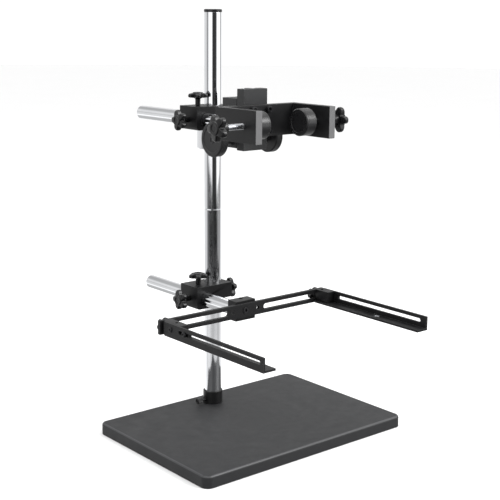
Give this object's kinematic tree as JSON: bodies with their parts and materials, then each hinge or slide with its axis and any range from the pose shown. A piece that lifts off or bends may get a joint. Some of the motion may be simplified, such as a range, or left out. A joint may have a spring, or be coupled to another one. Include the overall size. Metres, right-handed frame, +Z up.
{
  "type": "bench instrument stand",
  "caption": "Bench stand with a heavy plate, chrome post, cross-rod clamps, a slotted adjustable frame low down and a focusing yoke with gripping pads above.",
  "frame": {"origin": "centre of the underside of the base plate", "axes": "+X right along the long side of the base, +Y towards the post at the back, +Z up; the working side faces -Y"},
  "size_m": [0.36, 0.459, 0.5955],
  "materials": {
    "base_paint": "satin black powder coat, fine texture",
    "collar_black": "satin black oxide",
    "chrome": "hard chrome over ground steel",
    "cap_plastic": "smooth black moulding",
    "steel": "bright ground steel",
    "black_anodised": "satin black anodised, milled",
    "bar_black": "satin black coat, bright on worn edges",
    "screw_black": "black oxide steel",
    "knob_plastic": "moulded black thermoset, faint sheen",
    "wheel_black": "turned, black anodised",
    "pad_plastic": "turned black plastic with a satin rim",
    "bronze": "machined bronze, lightly oiled"
  },
  "bodies": {
    "stand": {"base_plate": "base_paint", "post_collar": "collar_black", "post_lower": "chrome", "post_upper": "chrome", "post_cap": "cap_plastic"},
    "collar_screw": {"collar_screw": "knob_plastic"},
    "lower_clamp": {"lower_clamp": "black_anodised"},
    "lower_rod_knob": {"lower_rod_knob": "knob_plastic"},
    "lower_top_knob": {"lower_top_knob": "knob_plastic"},
    "lower_post_knob": {"lower_post_knob": "knob_plastic"},
    "lower_rod": {"lower_rod": "chrome"},
    "tool_frame": {"mount_block": "black_anodised", "mount_set_screw": "screw_black", "cross_bar": "bar_black", "bar_screw": "screw_black"},
    "left_arm": {"left_corner_block": "black_anodised", "left_angle": "bar_black", "left_arm_screws": "screw_black"},
    "left_arm_knob": {"left_arm_knob": "knob_plastic"},
    "right_arm": {"right_corner_block": "black_anodised", "right_angle": "bar_black", "right_arm_screws": "screw_black"},
    "right_arm_knob": {"right_arm_knob": "knob_plastic"},
    "stop_collar": {"stop_collar": "chrome", "stop_screw": "screw_black"},
    "upper_clamp": {"upper_clamp": "black_anodised"},
    "upper_rod_knob": {"upper_rod_knob": "knob_plastic"},
    "upper_top_knob": {"upper_top_knob": "knob_plastic"},
    "upper_post_knob": {"upper_post_knob": "knob_plastic"},
    "upper_rod": {"upper_rod": "chrome"},
    "focus_housing": {"focus_housing": "black_anodised", "head_set_screw": "screw_black", "pinion_bushes": "bronze"},
    "pinion": {"pinion_shaft": "steel", "focus_knob_left": "wheel_black", "focus_knob_right": "wheel_black"},
    "focus_slide": {"rack_slide": "black_anodised", "rack_strip": "screw_black", "yoke": "black_anodised", "yoke_screws": "screw_black"},
    "left_pad": {"left_pad": "pad_plastic"},
    "left_pad_knob": {"left_pad_screw": "steel", "left_pad_knob": "knob_plastic"},
    "right_pad": {"right_pad": "pad_plastic"},
    "right_pad_knob": {"right_pad_screw": "steel", "right_pad_knob": "knob_plastic"}
  },
  "joints": [
    {"name": "collar_screw_turn", "type": "hinge", "parent": "stand", "child": "collar_screw", "pos_m": [-0.02, 0.093, 0.023], "axis": [1, 0, 0], "range_deg": [-360, 0]},
    {"name": "lower_clamp_height", "type": "slide", "parent": "stand", "child": "lower_clamp", "axis": [0, 0, 1], "range_m": [-0.06, 0.17]},
    {"name": "lower_rod_knob_turn", "type": "hinge", "parent": "lower_clamp", "child": "lower_rod_knob", "pos_m": [-0.05, 0.093, 0.184], "axis": [1, 0, 0], "range_deg": [-720, 0]},
    {"name": "lower_top_knob_turn", "type": "hinge", "parent": "lower_clamp", "child": "lower_top_knob", "pos_m": [-0.027, 0.093, 0.21], "axis": [0, 0, -1], "range_deg": [-720, 0]},
    {"name": "lower_post_knob_turn", "type": "hinge", "parent": "lower_clamp", "child": "lower_post_knob", "pos_m": [0.025, 0.093, 0.189], "axis": [-1, 0, 0], "range_deg": [-720, 0]},
    {"name": "lower_rod_reach", "type": "slide", "parent": "lower_clamp", "child": "lower_rod", "axis": [0, -1, 0], "range_m": [-0.065, 0.09]},
    {"name": "tool_frame_roll", "type": "hinge", "parent": "lower_rod", "child": "tool_frame", "pos_m": [-0.027, 0, 0.184], "axis": [0, 1, 0], "range_deg": [-40, 40]},
    {"name": "left_arm_slide", "type": "slide", "parent": "tool_frame", "child": "left_arm", "axis": [1, 0, 0], "range_m": [-0.004, 0.09]},
    {"name": "left_arm_knob_turn", "type": "hinge", "parent": "left_arm", "child": "left_arm_knob", "pos_m": [-0.1625, -0.02, 0.1885], "axis": [0, -1, 0], "range_deg": [-720, 0]},
    {"name": "right_arm_slide", "type": "slide", "parent": "tool_frame", "child": "right_arm", "axis": [-1, 0, 0], "range_m": [-0.0008, 0.09]},
    {"name": "right_arm_knob_turn", "type": "hinge", "parent": "right_arm", "child": "right_arm_knob", "pos_m": [0.106, -0.02, 0.1885], "axis": [0, -1, 0], "range_deg": [-720, 0]},
    {"name": "stop_collar_height", "type": "slide", "parent": "stand", "child": "stop_collar", "axis": [0, 0, 1], "range_m": [-0.12, 0.11]},
    {"name": "upper_clamp_swivel", "type": "hinge", "parent": "stop_collar", "child": "upper_clamp", "pos_m": [0, 0.093, 0.45], "axis": [0, 0, 1], "continuous": true},
    {"name": "upper_rod_knob_turn", "type": "hinge", "parent": "upper_clamp", "child": "upper_rod_knob", "pos_m": [-0.05, 0.093, 0.443], "axis": [1, 0, 0], "range_deg": [-720, 0]},
    {"name": "upper_top_knob_turn", "type": "hinge", "parent": "upper_clamp", "child": "upper_top_knob", "pos_m": [-0.027, 0.093, 0.47], "axis": [0, 0, -1], "range_deg": [-720, 0]},
    {"name": "upper_post_knob_turn", "type": "hinge", "parent": "upper_clamp", "child": "upper_post_knob", "pos_m": [0.025, 0.093, 0.448], "axis": [-1, 0, 0], "range_deg": [-720, 0]},
    {"name": "upper_rod_reach", "type": "slide", "parent": "upper_clamp", "child": "upper_rod", "axis": [0, -1, 0], "range_m": [-0.05, 0.11]},
    {"name": "head_roll", "type": "hinge", "parent": "upper_rod", "child": "focus_housing", "pos_m": [-0.027, 0, 0.443], "axis": [0, 1, 0], "range_deg": [-90, 90]},
    {"name": "focus_travel", "type": "slide", "parent": "focus_housing", "child": "focus_slide", "axis": [0, 0, 1], "range_m": [-0.025, 0.025]},
    {"name": "focus_knob_turn", "type": "hinge", "parent": "focus_housing", "child": "pinion", "pos_m": [-0.027, -0.007, 0.426], "axis": [-1, 0, 0], "range_deg": [-240, 240]},
    {"name": "left_pad_travel", "type": "slide", "parent": "focus_slide", "child": "left_pad", "axis": [1, 0, 0], "range_m": [-0.0055, 0.0195]},
    {"name": "left_pad_knob_turn", "type": "hinge", "parent": "left_pad", "child": "left_pad_knob", "pos_m": [-0.1, -0.089, 0.451], "axis": [1, 0, 0], "range_deg": [-1600, 5640]},
    {"name": "right_pad_travel", "type": "slide", "parent": "focus_slide", "child": "right_pad", "axis": [-1, 0, 0], "range_m": [-0.0135, 0.0115]},
    {"name": "right_pad_knob_turn", "type": "hinge", "parent": "right_pad", "child": "right_pad_knob", "pos_m": [0.06, -0.089, 0.451], "axis": [-1, 0, 0], "range_deg": [-3900, 3330]}
  ],
  "couplings": [
    {"joint": "focus_knob_turn", "follows": "focus_travel", "rad_per_m": 166.67},
    {"joint": "left_pad_knob_turn", "follows": "left_pad_travel", "rad_per_m": 5026.5},
    {"joint": "right_pad_knob_turn", "follows": "right_pad_travel", "rad_per_m": 5026.5}
  ]
}
